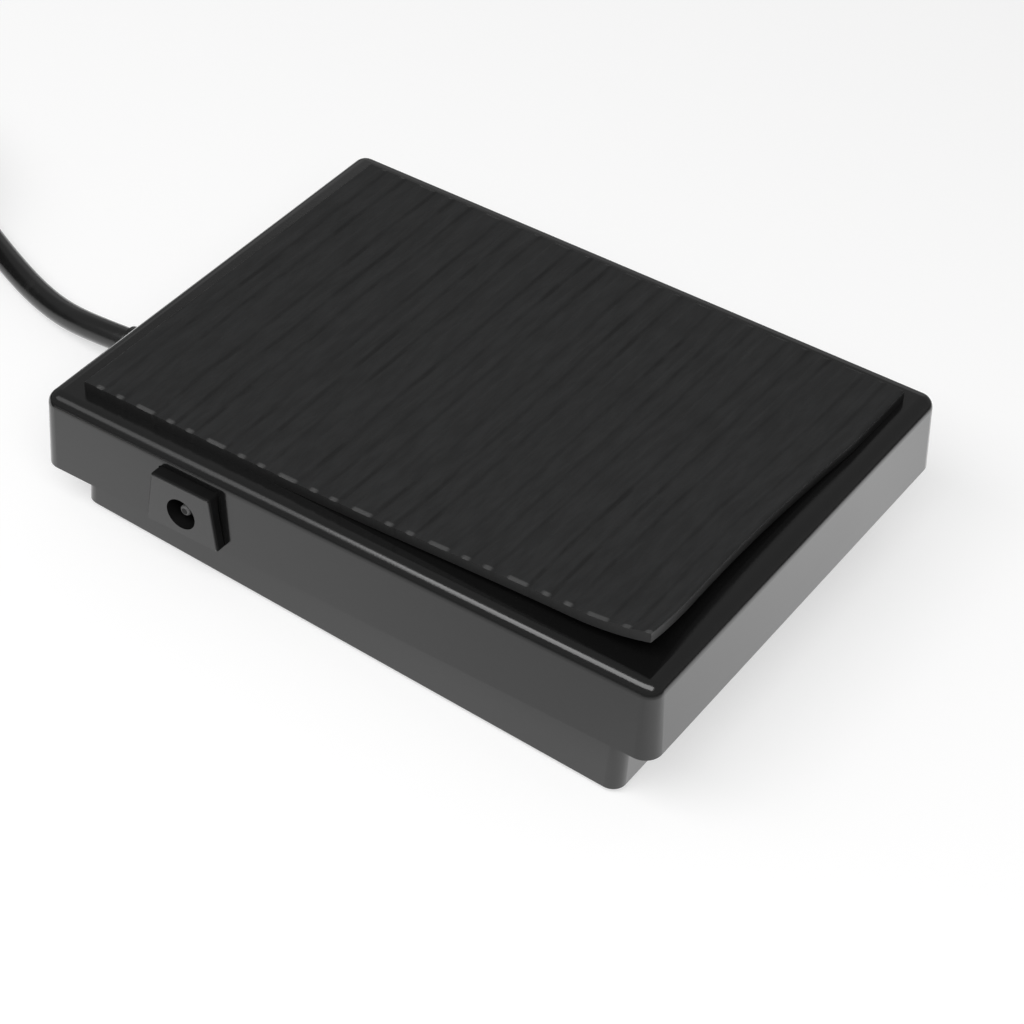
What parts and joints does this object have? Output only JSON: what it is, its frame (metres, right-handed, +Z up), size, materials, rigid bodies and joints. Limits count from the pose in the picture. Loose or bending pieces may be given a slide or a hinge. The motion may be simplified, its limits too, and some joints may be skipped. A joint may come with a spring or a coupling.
{
  "type": "sustain_pedal",
  "caption": "Compact keyboard sustain pedal: hinged black treadle with a ribbed rubber mat on a shallow base, side socket, switch inside and a cord with a quarter-inch plug.",
  "frame": {"origin": "On the floor under the middle of the base, on the sole's resting face.", "axes": "+X to the end that the foot presses, -X to the hinge and the cord, -Y to the side with the socket, +Z up. Metres in the packed part, millimetres in the source."},
  "size_m": [0.201, 0.1125, 0.0293],
  "materials": {
    "black_abs": "injection moulded ABS, fine satin texture",
    "mat_rubber": "ribbed rubber sheet, matt",
    "sole_rubber": "soft synthetic rubber, matt",
    "plain_steel": "ground steel rod",
    "zinc_steel": "bright zinc plated steel",
    "spring_wire": "drawn spring wire",
    "board_laminate": "phenolic laminate with solder mask",
    "switch_moulding": "moulded nylon",
    "tinned_brass": "tinned brass",
    "plunger_nylon": "natural nylon",
    "jack_moulding": "moulded nylon, satin",
    "red_lead": "PVC insulation",
    "white_lead": "PVC insulation",
    "cord_pvc": "flexible PVC jacket, satin",
    "nickel_plate": "nickel plated, turned and polished",
    "plug_ring": "black insulating ring"
  },
  "bodies": {
    "base": {"base_tray": "black_abs", "sole_pad": "sole_rubber", "bumper_pads": "sole_rubber", "hinge_rod": "plain_steel", "board_screws": "zinc_steel", "clamp_screws": "zinc_steel", "return_springs": "spring_wire", "switch_board": "board_laminate", "switch_body": "switch_moulding", "switch_pins": "tinned_brass", "signal_leads": "white_lead", "strain_relief": "cord_pvc", "cord_clamp": "switch_moulding", "cord_inner": "cord_pvc", "cord": "cord_pvc", "cord_coil": "cord_pvc", "cord_tail": "cord_pvc", "plug_handle": "cord_pvc", "plug_shank": "nickel_plate", "plug_insulator": "plug_ring", "plug_tip": "nickel_plate"},
    "treadle": {"treadle_cap": "black_abs", "tread_mat": "mat_rubber", "stop_screws": "zinc_steel", "stop_washers": "zinc_steel", "jack_body": "jack_moulding", "jack_pin": "tinned_brass", "jack_tabs": "tinned_brass", "jack_leads": "red_lead"},
    "plunger": {"switch_plunger": "plunger_nylon"}
  },
  "joints": [
    {"name": "pedal_hinge", "type": "hinge", "parent": "base", "child": "treadle", "pos_m": [-0.0386, 0, 0.0096], "axis": [0, 1, 0], "range_deg": [0, 3.2], "stiffness_Nm_per_rad": 12.3, "springref_deg": -1.6, "deforming": ["return_springs"]},
    {"name": "plunger_slide", "type": "slide", "parent": "base", "child": "plunger", "axis": [0, 0, 1], "range_m": [-0.0019, 0]}
  ],
  "couplings": [
    {"joint": "plunger_slide", "follows": "pedal_hinge", "m_per_rad": -0.0326}
  ]
}
